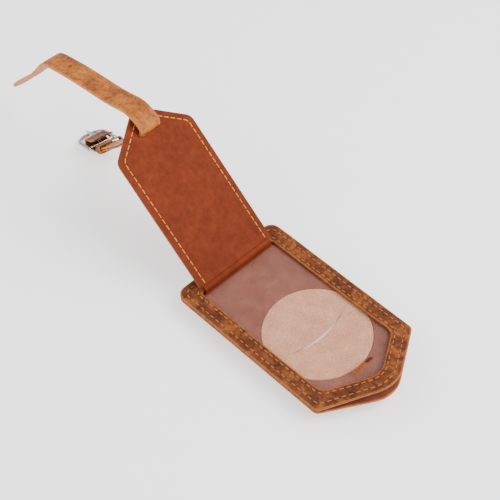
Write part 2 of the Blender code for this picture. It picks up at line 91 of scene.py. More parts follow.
# The body and its stack, in the frame's own places.
BODY_LOW, BODY_HIGH = (np.array(v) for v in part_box("back_panel"))
HALF_WIDTH = BODY_HIGH[1]
HINGE_END = BODY_LOW[0]
NOSE_SLOPE = 0.6
NOSE_VERTEX = HINGE_END + 107.3 * MM
BORDER = 8.4 * MM
OUTER_RADII = (5 * MM, 3 * MM, 15.6 * MM)
INNER_RADII = (1.5 * MM, 6 * MM, 10 * MM)
FRAME_Z = (8.6 * MM, 10.0 * MM)
EDGE, SEAM_DIP = 0.45 * MM, 0.45 * MM  # the cut edge's radius, a seam's groove
SHEET_TOP, SHEET_THICK, SHEET_IN = 8.4 * MM, 0.22 * MM, 4.6 * MM
SHEET_ENDS = (HINGE_END + 10.5 * MM, HINGE_END + 100.2 * MM)
FLAT_END = HINGE_END + 60.0 * MM
LIFT, LIFT_SPAN = 6.0 * MM, 44.7 * MM
DISC_R = 24.95 * MM
DISC_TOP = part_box("slit_disc")[1][2]
SLIT = (17.1 * MM, 3.1 * MM, 1.3 * MM)  # half length, bow, gape
WINDOW_SLOT_X = HINGE_END + 87.5 * MM

# The flap, turned back about its hinge.
HINGE = np.array(JOINTS["flap_hinge"]["pos_m"])
FLAP_OPEN = math.radians(140.0)
FLAP_HALF = 22.1 * MM
FLAP_CORNER, FLAP_VERTEX, FLAP_START = 69.1 * MM, 87.0 * MM, 1.6 * MM
SLOT_AT, SLOT = 74.3 * MM, (2.6 * MM, 13.0 * MM)

# The strap: its route runs on through the slot, along the tail and over the tip.
STRAP_W, STRAP_T = 11.6 * MM, 2.0 * MM
LAYER, LAYER_GAP = 0.93 * MM, 0.1 * MM
STRAP_STITCH = {"length": 2.2 * MM, "pitch": 3.0 * MM, "awl": 0.46 * MM, "thin": 0.55}
BEND_R, SLOT_BACK, SLOT_TURN = 3.2 * MM, 3.2 * MM, math.radians(100.0)
TAIL, TAIL_TURNS = 66.4 * MM, ((0, 0), (14, 43), (33.2, 35), (66.4, 41))
TIP, TIP_TURNS = 59.2 * MM, ((0, 0), (12, 40.2), (59.2, 30))
HOLES_AT = (57.5 * MM, 16.5 * MM)
LEG, LEG_TURNS = 78.5 * MM, ((0, 0), (26, -1), (34, -6), (63.5, -6), (73.5, -30), (78.5, -34))
LOOP_R, LOOP_TURN, RETURN = 1.9 * MM, math.radians(168.0), 12.0 * MM
RETURN_TURNS = ((0, 0), (12, 15))
LINING_END, KEEPER_AT, KEEPER_OVER = 67.0 * MM, 60.0 * MM, 0.9 * MM
BUCKLE_YAW = math.radians(9.4)
BUCKLE_FRONT, BUCKLE_HALF, BUCKLE_CORNER = 17.0 * MM, 8.6 * MM, 6.0 * MM
WIRE_ACROSS, WIRE_DEEP, PRONG_R = 1.3 * MM, 0.88 * MM, 0.7 * MM


# ---------------------------------------------------------------- settings


class TagSizes(bpy.types.PropertyGroup):
    """Sizes of what is sewn and finished on the tag."""

    stitch_pitch: FloatProperty(
        name="Stitch pitch", description="Hole to hole along the body's seams",
        default=3.2 * MM, min=1.5 * MM, max=6 * MM, unit="LENGTH")
    stitch_length: FloatProperty(
        name="Stitch length", description="Length of thread that shows between two holes",
        default=2.3 * MM, min=1 * MM, max=5 * MM, unit="LENGTH")
    thread: FloatProperty(
        name="Thread", description="Thickness of the sewing thread",
        default=0.50 * MM, min=0.2 * MM, max=1.2 * MM, unit="LENGTH")
    frame_seam: FloatProperty(
        name="Frame seam", description="Outer seam's distance from the body's edge",
        default=2.75 * MM, min=1.5 * MM, max=4 * MM, unit="LENGTH")
    window_seam: FloatProperty(
        name="Window seam", description="Inner seam's distance from the window's edge",
        default=1.75 * MM, min=1 * MM, max=3 * MM, unit="LENGTH")
    flap_seam: FloatProperty(
        name="Flap seam", description="Seam's distance from the flap's edge",
        default=2.9 * MM, min=1.5 * MM, max=4 * MM, unit="LENGTH")
    strap_seam: FloatProperty(
        name="Strap seam", description="Seam's distance from the strap's edge",
        default=2.3 * MM, min=1.2 * MM, max=3.5 * MM, unit="LENGTH")
    rows: IntProperty(
        name="Fineness", description="Samples along the body's outline for each straight run",
        default=90, min=20, max=200)


class TagColours(bpy.types.PropertyGroup):
    """Colours of the leathers, threads, vinyl and metal, as sRGB hex."""

    leather: StringProperty(name="Body leather", description="Pull-up leather", default="#70391B")
    leather_dark: StringProperty(name="Body blotches", description="Oil marks", default="#3C1C0D")
    leather_light: StringProperty(name="Body wear", description="Pulled edges", default="#A8602C")
    lining: StringProperty(name="Flap lining", description="Smooth tan lining", default="#742A09")
    strap: StringProperty(name="Strap leather", description="Waxed tan strap", default="#BE6C2C")
    strap_dark: StringProperty(name="Strap blotches", description="Wax marks", default="#784427")
    suede: StringProperty(name="Pocket suede", description="Dark suede", default="#7C4130")
    disc: StringProperty(name="Disc suede", description="Pale suede", default="#CB8E6B")
    thread_gold: StringProperty(name="Body thread", description="Waxed thread", default="#D0741E")
    thread_pale: StringProperty(name="Flap thread", description="Light thread", default="#F0A03C")


# ---------------------------------------------------------------- materials


def linear(code):
    """An sRGB hex colour as linear RGBA."""
    c = [int(code[i:i + 2], 16) / 255 for i in (1, 3, 5)]
    return (*[v / 12.92 if v <= 0.04045 else ((v + 0.055) / 1.055) ** 2.4 for v in c], 1.0)


def node(tree, kind, links=(), stops=(), **settings):
    """Adds a node: settings are its fields or inputs, and links join an output or a value to
    an input. stops are a colour ramp's places with their sRGB hex colours."""
    n = tree.nodes.new(kind)
    for key, value in settings.items():
        if hasattr(n, key):
            setattr(n, key, value)
        else:
            n.inputs[key.replace("_", " ")].default_value = value
    for socket, source in links:
        if isinstance(source, bpy.types.NodeSocket):
            tree.links.new(source, n.inputs[socket])
        else:
            n.inputs[socket].default_value = source
    for i, (place, colour) in enumerate(stops):
        element = n.color_ramp.elements[i] if i < 2 else n.color_ramp.elements.new(1.0)
        element.position, element.color = place, linear(colour)
    return n


def blank(name, **settings):
    """A material with an empty tree, its Principled shader with the settings and its output."""
    m = bpy.data.materials.new(name)
    m.use_nodes = True
    t = m.node_tree
    t.nodes.clear()
    shader = node(t, "ShaderNodeBsdfPrincipled", **settings)
    node(t, "ShaderNodeOutputMaterial", [("Surface", shader.outputs[0])])
    return m, t, shader


def leather(name, base, dark, light, rough=0.55, blotch=9.0, grain=0.55, pull=0.8, cut=None):
    """Waxed leather: blotches of oil, scratches, paler where it is pulled or cut, and a fine grain.

    blotch and grain are sizes in millimetres, cut is the colour of a cut edge. The worn
    attribute of a piece is 1 at its edges.
    """
    m, t, shader = blank(name, Specular_IOR_Level=0.22)
    co = node(t, "ShaderNodeTexCoord").outputs["Object"]
    worn = node(t, "ShaderNodeAttribute", attribute_name="worn").outputs["Fac"]
    big = node(t, "ShaderNodeTexNoise", [("Vector", co)], Scale=1 / (blotch * MM), Detail=6.0,
               Roughness=0.62, Distortion=0.6).outputs["Fac"]
    small = node(t, "ShaderNodeTexNoise", [("Vector", co)], Scale=1 / (blotch * MM * 0.22),
                 Detail=8.0, Roughness=0.7).outputs["Fac"]
    colour = node(t, "ShaderNodeValToRGB", [("Fac", big)],
                  [(0.30, dark), (0.50, base), (0.72, light)]).outputs[0]
    fine = node(t, "ShaderNodeValToRGB", [("Fac", small)],
                [(0.34, "#707070"), (0.62, "#FFFFFF")]).outputs[0]
    strength = 0.6 if blotch < 10 else 0.3
    colour = node(t, "ShaderNodeMix", [(0, strength), (6, colour), (7, fine)],
                  data_type="RGBA", blend_type="MULTIPLY").outputs[2]
    # Scratches: noise drawn out long and thin.
    stretch = node(t, "ShaderNodeMapping", [("Vector", co)], Rotation=(0.3, 0.2, 0.6),
                   Scale=(60.0, 900.0, 900.0)).outputs[0]
    lines = node(t, "ShaderNodeTexNoise", [("Vector", stretch)], Scale=1.0, Detail=3.0,
                 Roughness=0.6).outputs["Fac"]
    streak = node(t, "ShaderNodeMapRange", [("Value", lines)], From_Min=0.60, From_Max=0.78,
                  To_Max=0.35).outputs[0]
    colour = node(t, "ShaderNodeMix", [(0, streak), (6, colour), (7, linear(light))],
                  data_type="RGBA").outputs[2]
    edge = node(t, "ShaderNodeMath", [(0, worn), (1, small)], operation="MULTIPLY").outputs[0]
    edge = node(t, "ShaderNodeMapRange", [("Value", edge)], From_Min=0.18, From_Max=0.6,
                To_Max=pull).outputs[0]
    colour = node(t, "ShaderNodeMix", [(0, edge), (6, colour), (7, linear(cut or light))],
                  data_type="RGBA").outputs[2]
    t.links.new(colour, shader.inputs["Base Color"])
    cells = node(t, "ShaderNodeTexVoronoi", [("Vector", co)], Scale=1 / (grain * MM * 1.6),
                 feature="DISTANCE_TO_EDGE").outputs["Distance"]
    pores = node(t, "ShaderNodeTexNoise", [("Vector", co)], Scale=1 / (grain * MM), Detail=5.0,
                 Roughness=0.7).outputs["Fac"]
    height = node(t, "ShaderNodeMath", [(0, cells), (1, pores)], operation="ADD").outputs[0]
    bump = node(t, "ShaderNodeBump", [("Height", height)], Strength=0.55, Distance=0.10 * MM)
    t.links.new(bump.outputs[0], shader.inputs["Normal"])
    shine = node(t, "ShaderNodeMapRange", [("Value", small)], From_Min=0.2, From_Max=0.8,
                 To_Min=rough + 0.12, To_Max=rough - 0.10)
    t.links.new(shine.outputs[0], shader.inputs["Roughness"])
    return m


def suede(name, base, dark, light, grain=0.5):
    """Napped suede: no gloss, a soft sheen, and a speckle of nap lying both ways.

    The speckle is two parts fine nap to one part slow cloud, through a colour ramp.
    """
    m, t, shader = blank(name, Roughness=0.95, Sheen_Weight=0.25)
    co = node(t, "ShaderNodeTexCoord").outputs["Object"]
    nap = node(t, "ShaderNodeTexNoise", [("Vector", co)], Scale=1 / (grain * MM), Detail=3.0,
               Roughness=0.75).outputs["Fac"]
    cloud = node(t, "ShaderNodeTexNoise", [("Vector", co)], Scale=1 / (7 * MM), Detail=4.0)
    total = node(t, "ShaderNodeMath", [(0, nap), (1, 2.0), (2, cloud.outputs["Fac"])],
                 operation="MULTIPLY_ADD").outputs[0]
    mean = node(t, "ShaderNodeMath", [(0, total), (1, 1 / 3)], operation="MULTIPLY").outputs[0]
    colour = node(t, "ShaderNodeValToRGB", [("Fac", mean)],
                  [(0.38, dark), (0.5, base), (0.62, light)])
    t.links.new(colour.outputs[0], shader.inputs["Base Color"])
    bump = node(t, "ShaderNodeBump", [("Height", nap)], Strength=0.6, Distance=0.12 * MM)
    t.links.new(bump.outputs[0], shader.inputs["Normal"])
    return m


def thread(name, colour):
    """Waxed twisted thread: fine slanted plies with painted shade in the grooves between them, and a
    slight gloss.
    """
    m, t, shader = blank(name, Roughness=0.5)
    uv = node(t, "ShaderNodeUVMap", uv_map="UVMap").outputs[0]
    wave = node(t, "ShaderNodeTexWave", [("Vector", uv)], Scale=2.0, Distortion=0.5,
                bands_direction="DIAGONAL").outputs["Fac"]
    # Painted shade: the grooves between the plies take 0.6 of the thread's colour, mixed in by the
    # wave bands.
    dark = tuple(v * 0.6 for v in linear(colour)[:3]) + (1.0,)
    plies = node(t, "ShaderNodeMix", [(0, wave), (6, dark), (7, linear(colour))],
                 data_type="RGBA")
    t.links.new(plies.outputs[2], shader.inputs["Base Color"])
    bump = node(t, "ShaderNodeBump", [("Height", wave)], Strength=0.4, Distance=0.08 * MM)
    t.links.new(bump.outputs[0], shader.inputs["Normal"])
    return m


def vinyl(name):
    """Clear soft PVC sheet: a faint mauve haze, finger smears in its gloss and slow ripples."""
    m, t, shader = blank(name, Base_Color=linear("#E2B4A8"), Roughness=0.12, IOR=1.53)
    co = node(t, "ShaderNodeTexCoord").outputs["Object"]
    smear = node(t, "ShaderNodeTexNoise", [("Vector", co)], Scale=1 / (9 * MM), Detail=5.0)
    haze = node(t, "ShaderNodeMapRange", [("Value", smear.outputs["Fac"])], From_Min=0.3,
                From_Max=0.7, To_Min=0.035, To_Max=0.075)
    t.links.new(haze.outputs[0], shader.inputs["Alpha"])
    bump = node(t, "ShaderNodeBump", [("Height", smear.outputs["Fac"])], Strength=0.25,
                Distance=0.3 * MM)
    t.links.new(bump.outputs[0], shader.inputs["Normal"])
    return m


def plated(name, colour, rough):
    """Polished plating: bright metal with faint buffing marks."""
    m, t, shader = blank(name, Base_Color=linear(colour), Metallic=1.0)
    co = node(t, "ShaderNodeTexCoord").outputs["Object"]
    marks = node(t, "ShaderNodeTexNoise", [("Vector", co)], Scale=1 / (0.8 * MM), Detail=4.0)
    gloss = node(t, "ShaderNodeMapRange", [("Value", marks.outputs["Fac"])], From_Min=0.3,
                 From_Max=0.7, To_Min=rough * 0.7, To_Max=rough * 1.4)
    t.links.new(gloss.outputs[0], shader.inputs["Roughness"])
    bump = node(t, "ShaderNodeBump", [("Height", marks.outputs["Fac"])], Strength=0.1,
                Distance=0.03 * MM)
    t.links.new(bump.outputs[0], shader.inputs["Normal"])
    return m


def moulded(name, colour, rough):
    """Moulded plastic: an even colour with the faint orange peel of its mould."""
    m, t, shader = blank(name, Base_Color=linear(colour), Roughness=rough)
    co = node(t, "ShaderNodeTexCoord").outputs["Object"]
    peel = node(t, "ShaderNodeTexNoise", [("Vector", co)], Scale=1 / (0.6 * MM), Detail=3.0)
    bump = node(t, "ShaderNodeBump", [("Height", peel.outputs["Fac"])], Strength=0.12,
                Distance=0.03 * MM)
    t.links.new(bump.outputs[0], shader.inputs["Normal"])
    return m


def finishes():
    """Every material of the tag, by its record slot or its use."""
    c = bpy.context.scene.tag_colours
    return {
        "frame_leather": leather("Pull-up leather", c.leather, c.leather_dark, c.leather_light,
                                 blotch=6.0),
        "lining_leather": leather("Smooth tan lining", c.lining, "#682507", "#80320F", 0.75,
                                  blotch=14.0, grain=0.4, pull=0.5),
        "strap_leather": leather("Waxed strap leather", c.strap, c.strap_dark, "#D8843A", 0.5,
                                 blotch=9.0, grain=0.4, pull=0.7),
        "leg_leather": leather("Dark strap end", "#6E3618", "#42200F", "#C9772F", 0.6,
                               blotch=8.0, grain=0.4, pull=1.0),
        "back_leather": leather("Napped pocket leather", c.suede, "#70382A", "#88493A", 0.85,
                                blotch=16.0, grain=0.7, pull=1.0, cut="#B86E38"),
        "pale_suede": suede("Pale suede", c.disc, "#B87A5A", "#DDA583", 0.8),
        "dark_suede": suede("Brown suede", c.suede, "#5E2E20", "#96563F"),
        "clear_vinyl": vinyl("Clear soft vinyl"),
        "white_plastic": moulded("White moulded plastic", "#F2F2EE", 0.3),
        "board": moulded("Green circuit laminate", "#1F5A38", 0.45),
        "cell_steel": plated("Nickelled steel", "#C9C8C4", 0.25),
        "sounder_brass": plated("Brass", "#C9A45A", 0.3),
        "nickel": plated("Nickel plate", "#B4B1AA", 0.2),
        "facing": leather("Orange slot facing", "#A8511C", "#8A3C12", "#B8642A", 0.6,
                          blotch=3.0, grain=0.4),
        "gold": thread("Waxed gold thread", c.thread_gold),
        "pale": thread("Pale waxed thread", c.thread_pale),
        "tan": thread("Tan thread", "#B86A30"),
        # One flat dark colour, painted shade for the inside of the awl holes and the slot's throat.
        "hole": moulded("Awl hole", "#3A1E12", 0.9),
    }


# ---------------------------------------------------------------- meshes


def surface(points, closed=(False, False), start=0):
    """Faces joining a grid of points row to row; closed says which way wraps round."""
    m, n = points.shape[:2]
    i = np.arange(m if closed[0] else m - 1)[:, None]
    j = np.arange(n if closed[1] else n - 1)[None, :]
    i2, j2 = (i + 1) % m, (j + 1) % n
    quads = np.stack([i * n + j, i2 * n + j, i2 * n + j2, i * n + j2], -1)
    return (quads.reshape(-1, 4) + start).tolist()


def tube(points):
    """Faces of a stack of rings, closed round and capped at both ends."""
    m, n = points.shape[:2]
    return surface(points, (False, True)) + [list(range(n)), list(range((m - 1) * n, m * n))]


def unit(v):
    """Vectors along the last axis brought to length 1."""
    return v / np.maximum(np.linalg.norm(v, axis=-1, keepdims=True), 1e-12)


def face_out(me):
    """Turns every face of a closed mesh outwards."""
    bm = bmesh.new()
    bm.from_mesh(me)
    bmesh.ops.recalc_face_normals(bm, faces=bm.faces)
    bm.to_mesh(me)
    bm.free()


def piece(name, verts, faces, slot, mats, worn=None, uv=None, sharp=40.0, closed=True):
    """A finished mesh object: outward faces, smooth but for its corners, its wear and its UVs."""
    me = bpy.data.meshes.new(name)
    me.from_pydata(np.asarray(verts).tolist(), [], faces)
    if worn is not None:
        a = me.attributes.new("worn", "FLOAT", "POINT")
        a.data.foreach_set("value", np.asarray(worn, np.float32).ravel())
    if uv is not None:
        layer = me.uv_layers.new(name="UVMap")
        index = np.empty(len(me.loops), np.int32)
        me.loops.foreach_get("vertex_index", index)
        layer.data.foreach_set("uv", np.asarray(uv, np.float32)[index].ravel())
    if closed:
        face_out(me)
    me.shade_smooth()
    me.set_sharp_from_angle(angle=math.radians(sharp))
    me.materials.append(mats[slot])
    o = bpy.data.objects.new(name, me)
    bpy.context.scene.collection.objects.link(o)
    return o


def fillet(corners, radii, steps):
    """Corner points rounded: each corner becomes an arc of its radius, steps + 1 points long."""
    out, n = [], len(corners)
    p = np.array(corners, float)
    for i, r in enumerate(radii):
        a, b = p[i - 1] - p[i], p[(i + 1) % n] - p[i]
        a, b = unit(a), unit(b)
        half = math.acos(np.clip(a @ b, -1, 1)) / 2
        centre = p[i] + unit(a + b) * r / math.sin(half)
        s, e = p[i] + a * r / math.tan(half) - centre, p[i] + b * r / math.tan(half) - centre
        turn = math.atan2(s[0] * e[1] - s[1] * e[0], s @ e) * np.linspace(0, 1, steps + 1)
        c, k = np.cos(turn), np.sin(turn)
        out.append(centre + np.stack([c * s[0] - k * s[1], k * s[0] + c * s[1]], -1))
    return out


def joined(arcs, counts):
    """A closed outline: each arc, then its straight run to the next in counts pieces."""
    out = []
    for i, count in enumerate(counts):
        a, b = arcs[i][-1], arcs[(i + 1) % len(arcs)][0]
        t = np.linspace(0, 1, count + 1)[1:-1, None]
        out += [arcs[i], a * (1 - t) + b * t]
    return np.concatenate(out)


def body_loop(inset, radii, fine):
    """The home plate moved in by inset, sampled fine points to a long side."""
    w = HALF_WIDTH - inset
    tip = NOSE_VERTEX - inset / math.cos(math.atan(NOSE_SLOPE))
    end, shoulder = HINGE_END + inset, tip - NOSE_SLOPE * w
    corners = [(end, -w), (shoulder, -w), (tip, 0.0), (shoulder, w), (end, w)]
    hinge, nose, point = radii
    arcs = fillet(corners, [hinge, nose, point, nose, hinge], 14)
    return joined(arcs, (fine, fine // 2, fine // 2, fine, fine * 2 // 3))


def flap_loop(inset, fine=60):
    """The flap's edge moved in by inset: straight sides, round shoulders and a round point."""
    w, corner = FLAP_HALF - inset, FLAP_CORNER - inset * 0.4
    tip, start = FLAP_VERTEX - inset * 1.3, FLAP_START + inset
    arcs = fillet([(start, -w), (corner, -w), (tip, 0.0), (corner, w), (start, w)],
                  [0.6 * MM, 5 * MM - inset * 0.4, 8 * MM - inset * 0.5, 5 * MM - inset * 0.4,
                   0.6 * MM], 14)
    return joined(arcs, (fine, fine // 3, fine // 3, fine, fine // 2))


def slot_loop(toward, x, grow=0.0):
    """A round-ended slot about x, one point for each of the outline points it faces.

    A ray from the middle meets either a straight side or the circle that ends the slot.
    """
    r, h = SLOT[0] / 2 + grow, SLOT[1] / 2 - SLOT[0] / 2
    a = np.arctan2(toward[:, 1], toward[:, 0] - x)
    c, s = np.cos(a), np.sin(a)
    side = np.abs(s) * r <= np.abs(c) * h
    b = h * np.abs(s)
    reach = b + np.sqrt(np.maximum(b * b - (h * h - r * r), 0))
    px = np.where(side, r * np.sign(c), c * reach)
    py = np.where(side, np.clip(np.tan(a) * r, -1e3, 1e3) * np.sign(c), s * reach)
    return np.stack([x + px, py], -1)


def lift(x, y):
    """How far the frame stands open: nothing to FLAT_END, then rising as a power of 1.5."""
    along = np.maximum(0.0, (x - FLAT_END) / LIFT_SPAN)
    across = np.maximum(0.0, 1 - (y / (HALF_WIDTH + 0.2 * MM)) ** 2)
    return LIFT * along ** 1.5 * across


def rolling(x, y, size, seed):
    """Slow unevenness of hand-worked leather, between -1 and 1: three crossed sine waves."""
    k = 2 * math.pi / size
    return (np.sin(k * x + seed) + np.sin(k * (0.6 * x + 0.8 * y) * 1.3 + 2 * seed)
            + np.sin(k * (y - 0.4 * x) * 0.8 + 3 * seed)) / 3


def ringed(name, rings, slot, mats, place, sharp=50.0):
    """A band with a hole: rings of (outline, height, worn), joined in order and closed."""
    flat = np.stack([np.column_stack([loop, np.full(len(loop), z)]) for loop, z, _ in rings])
    worn = np.stack([np.full(len(loop), w) for loop, _, w in rings])
    pts = place(flat)
    return piece(name, pts.reshape(-1, 3), surface(pts, (True, True)), slot, mats, worn.ravel(),
                 sharp=sharp)


def edge_profile(z0, z1, r, inset):
    """(distance in, height, worn) round a cut edge, from the underside to the top."""
    return [(inset + r - r * math.cos(v), (z1 - r if v > 0 else z0 + r) + r * math.sin(v), 1.0)
            for v in np.linspace(-math.pi / 2, math.pi / 2, 9)]


# ---------------------------------------------------------------- stitches


def sewn(name, path, normals, colour, mats, length=None, pitch=None, awl=0.28 * MM, thin=1.0):
    """A row of stitches along a path: each is a bent capsule whose ends dive into awl holes.

    A stitch's centre line is a half ellipse over the surface and its section is round.
    """
    s = bpy.context.scene.tag_sizes
    pitch, length = pitch or s.stitch_pitch, length or s.stitch_length
    run = np.concatenate([[0], np.cumsum(np.linalg.norm(np.diff(path, axis=0), axis=1))])
    count = int(run[-1] / pitch)
    mids = (np.arange(count) + 0.5) * run[-1] / count
    reach = 0.1 * MM

    def at(values, places):
        return np.stack([np.interp(places, run, values[:, k]) for k in range(3)], -1)

    def axes(places):
        """The seam's points, normals, headings and widths at distances along it."""
        n = unit(at(normals, places))
        d = unit(at(path, places + reach) - at(path, places - reach))
        return at(path, places), n, d, np.cross(n, d)

    along, ring = 7, 6
    u = np.linspace(-1, 1, along)
    a = np.arange(ring) * 2 * math.pi / ring
    wobble = 1 + 0.08 * RNG.standard_normal(len(mids))
    p, n, _, w = axes(mids[:, None] + u * length / 2)
    r = s.thread / 2 * thin
    arch = np.sqrt(np.maximum(1 - u * u, 0)) * r * 1.15 - r * 0.75
    p = p + n * arch[None, :, None]
    size = r * (0.45 + 0.55 * np.sqrt(np.maximum(1 - u ** 4, 0)))
    size = size[None, :, None, None] * wobble[:, None, None, None]
    rim = w[:, :, None] * np.cos(a)[:, None] + n[:, :, None] * np.sin(a)[:, None]
    body = p[:, :, None] + size * rim
    faces = [[v + k * along * ring for v in f] for k in range(len(mids)) for f in tube(body[0])]
    uv = np.stack([np.broadcast_to(u[None, :, None] * 1.5, body.shape[:3]),
                   np.broadcast_to(a[None, None, :] / 6.28, body.shape[:3])], -1).reshape(-1, 2)
    row = piece(name + "_thread", body.reshape(-1, 3), faces, colour, mats, uv=uv)

    # The awl holes: a low dimple at each stitch's two ends, coloured dark as painted shade inside
    # the hole.
    sides = 8
    p, n, d, w = axes((mids[:, None] + np.array([-1, 1]) * (length / 2 + 0.12 * MM)).ravel())
    c = np.arange(sides) * 2 * math.pi / sides
    rim = p[:, None] + awl * (d[:, None] * np.cos(c)[:, None] * 0.8
                              + w[:, None] * np.sin(c)[:, None])
    cup = np.stack([rim - n[:, None] * 0.25 * MM, rim + n[:, None] * 0.02 * MM], 1)
    faces = [[v + k * 2 * sides for v in f] for k in range(len(p)) for f in tube(cup[0])]
    return row, piece(name + "_holes", cup.reshape(-1, 3), faces, "hole", mats)


def own(objects, body, slot, *nodes):
    """The objects ride on a body and stand for the CAD nodes. The slot argument is not used."""
    for o in objects:
        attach(o, body)
    if nodes:
        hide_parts(*nodes)


# ---------------------------------------------------------------- the body


def build_frame(mats):
    """The window frame: a band whose section has round edges and a dip under each seam."""
    s = bpy.context.scene.tag_sizes
    outer, inner = (body_loop(i, r, s.rows) for i, r in ((0, OUTER_RADII), (BORDER, INNER_RADII)))
    z0, z1 = FRAME_Z
    cut_edge = edge_profile(z0, z1, EDGE, 0.0)
    rings = [(d / BORDER, z, w) for d, z, w in cut_edge]
    for d in np.arange(0.9, 7.6, 0.35) * MM:
        seam = sum(math.exp(-((d - k) / SEAM_DIP) ** 2)
                   for k in (s.frame_seam, BORDER - s.window_seam))
        puff = 0.10 * MM * math.sin(math.pi * d / BORDER)
        near = max(0.0, 1 - min(d, BORDER - d) / (1.5 * MM))
        rings.append((d / BORDER, z1 - 0.16 * MM * seam + puff - 0.1 * MM, 0.6 * near))
    rings += [(1 - d / BORDER, z, w) for d, z, w in cut_edge[::-1]]
    rings = [(outer * (1 - t) + inner * t, z, w) for t, z, w in rings]

    def uneven(x, y):
        return 0.10 * MM * rolling(x, y, 23 * MM, 1.0)

    def place(p):
        x, y, z = p[..., 0], p[..., 1], p[..., 2]
        return np.stack([x, y, z + lift(x, y) + uneven(x, y) * (z > z0 + 0.5 * MM)], -1)
    made = [ringed("window_frame", rings, "frame_leather", mats, place)]
    for name, share in (("outer_seam", s.frame_seam / BORDER),
                        ("window_seam", 1 - s.window_seam / BORDER)):
        loop = outer * (1 - share) + inner * share
        loop = np.concatenate([loop, loop[:1]])
        x, y = loop.T
        path = np.column_stack([x, y, z1 - 0.12 * MM + lift(x, y) + uneven(x, y)])
        up = np.tile([0.0, 0.0, 1.0], (len(path), 1))
        made += sewn(name, path, up, "gold", mats)
    own(made, "body", "frame_leather", "front_frame")


def build_back(mats):
    """The back panel: a band from its cut edge, worn pale, to the round hole for the disc."""
    s = bpy.context.scene.tag_sizes
    outer = body_loop(0.0, OUTER_RADII, s.rows)
    a = np.arctan2(outer[:, 1], outer[:, 0])
    hole = np.column_stack([np.cos(a), np.sin(a)]) * (DISC_R + 0.3 * MM)
    z0, z1 = BODY_LOW[2], BODY_HIGH[2]
    toward = unit(hole - outer)
    rings = [(outer + toward * d, z, w) for d, z, w in edge_profile(z0, z1, 0.35 * MM, 0.0)]
    rings += [(outer + toward * d, z1, max(0.0, 1 - d / (1.6 * MM)))
              for d in np.linspace(0.6, 3.0, 9) * MM]
    rings += [(outer * (1 - f) + hole * f, z1, 0.0) for f in np.linspace(0.35, 0.97, 16)]
    rings += [(hole, z1 - 0.2 * MM, 0.5), (hole, z0, 0.5)]
    rings += [(outer * (1 - f) + hole * f, z0, 0.0) for f in (0.7, 0.4, 0.15)]
    o = ringed("back_leather", rings, "back_leather", mats, lambda p: p)
    own([o], "body", "frame_leather", "back_panel")


def build_disc(mats):
    """The pale disc: rings run from its round edge to the lips of its bowed slit."""
    a = np.linspace(0, 2 * math.pi, 240, endpoint=False)
    circle = np.column_stack([np.cos(a), np.sin(a)])
    half, bow, gape = SLIT
    t = np.sin(a)
    slit = np.column_stack([bow * (1 - t * t) - 0.5 * MM
                            + np.sign(np.cos(a)) * gape / 2 * (1 - t * t), half * t])
    z0, z1 = DISC_TOP - 0.85 * MM, DISC_TOP
    rings = [(circle * (DISC_R - d), z, 0.0) for d, z, _ in edge_profile(z0, z1, 0.3 * MM, 0)]
    for f in np.linspace(0.06, 0.97, 26):
        rings.append((circle * DISC_R * (1 - f) + slit * f, z1, 0.0))
    rings += [(slit, z1 - 0.25 * MM, 1.0), (slit, z0, 1.0)]

    def place(p):
        x, y, z = p[..., 0], p[..., 1], p[..., 2]
        near = np.exp(-((x - bow * (1 - (y / half) ** 2)) / (4 * MM)) ** 2)
        near = near * np.maximum(0, 1 - (y / half) ** 2)
        return np.stack([x, y, z - 0.12 * MM * near], -1)
    o = ringed("slit_patch", rings, "pale_suede", mats, place)
    own([o], "body", "pale_suede", "slit_disc")


def build_window(mats):
    """The clear sheet: a grid that follows the frame's underside, slack in slow ripples."""
    cols, xs = np.linspace(-1, 1, 61), np.linspace(*SHEET_ENDS, 121)
    w = HALF_WIDTH - SHEET_IN
    tip = NOSE_VERTEX - SHEET_IN / math.cos(math.atan(NOSE_SLOPE))
    d = (tip - xs) / NOSE_SLOPE
    half = 0.5 * (w + d - np.sqrt((w - d) ** 2 + (4 * MM) ** 2))  # the lesser, eased over
    x = np.repeat(xs[:, None], len(cols), 1)
    y = half[:, None] * cols[None, :]
    z = SHEET_TOP + lift(x, y) + 0.04 * MM * rolling(x, y, 31 * MM, 2.0)
    top = np.stack([x, y, z], -1)
    o = piece("window_sheet", top.reshape(-1, 3), surface(top), "clear_vinyl", mats, closed=False)
    wall = o.modifiers.new("Sheet", "SOLIDIFY")
    wall.thickness, wall.offset = SHEET_THICK, -1.0
    own([o], "body", "clear_vinyl", "clear_window")


def build_strap_slot(mats):
    """The slot near the nose: a leather facing shows through it, and a dark patch at one end is
    painted shade in its throat.
    """
    a = np.linspace(0, 2 * math.pi, 48, endpoint=False)
    ring = np.column_stack([np.cos(a), np.sin(a)])
    ends = (SLOT[1] - SLOT[0]) / 2 * np.sign(ring[:, 1:2]) * np.array([[0.0, 1.0]])
    for name, shift, long, r, top, slot in (
            ("slot_facing", 0.0, 1.0, 1.15 * MM, 0.10 * MM, "facing"),
            # The throat piece is a dark patch: painted shade where the slot's gap falls into shade.
            ("slot_throat", 3.6 * MM, 0.22, 0.75 * MM, 0.14 * MM, "hole")):
        centre = np.array([[WINDOW_SLOT_X, shift]])
        rows = [centre + ring * r * f + ends * long for f in (0.15, 0.5, 0.85, 1.0, 1.0, 0.15)]
        level = (top, top, top - 0.02 * MM, top - 0.06 * MM, -0.25 * MM, -0.25 * MM)
        flat = np.stack([np.column_stack([p, np.full(len(p), SHEET_TOP + z)])
                         for p, z in zip(rows, level)])
        flat[..., 2] += lift(flat[..., 0], flat[..., 1])
        o = piece(name, flat.reshape(-1, 3), surface(flat, (True, True)), slot, mats)
        own([o], "body", "frame_leather")


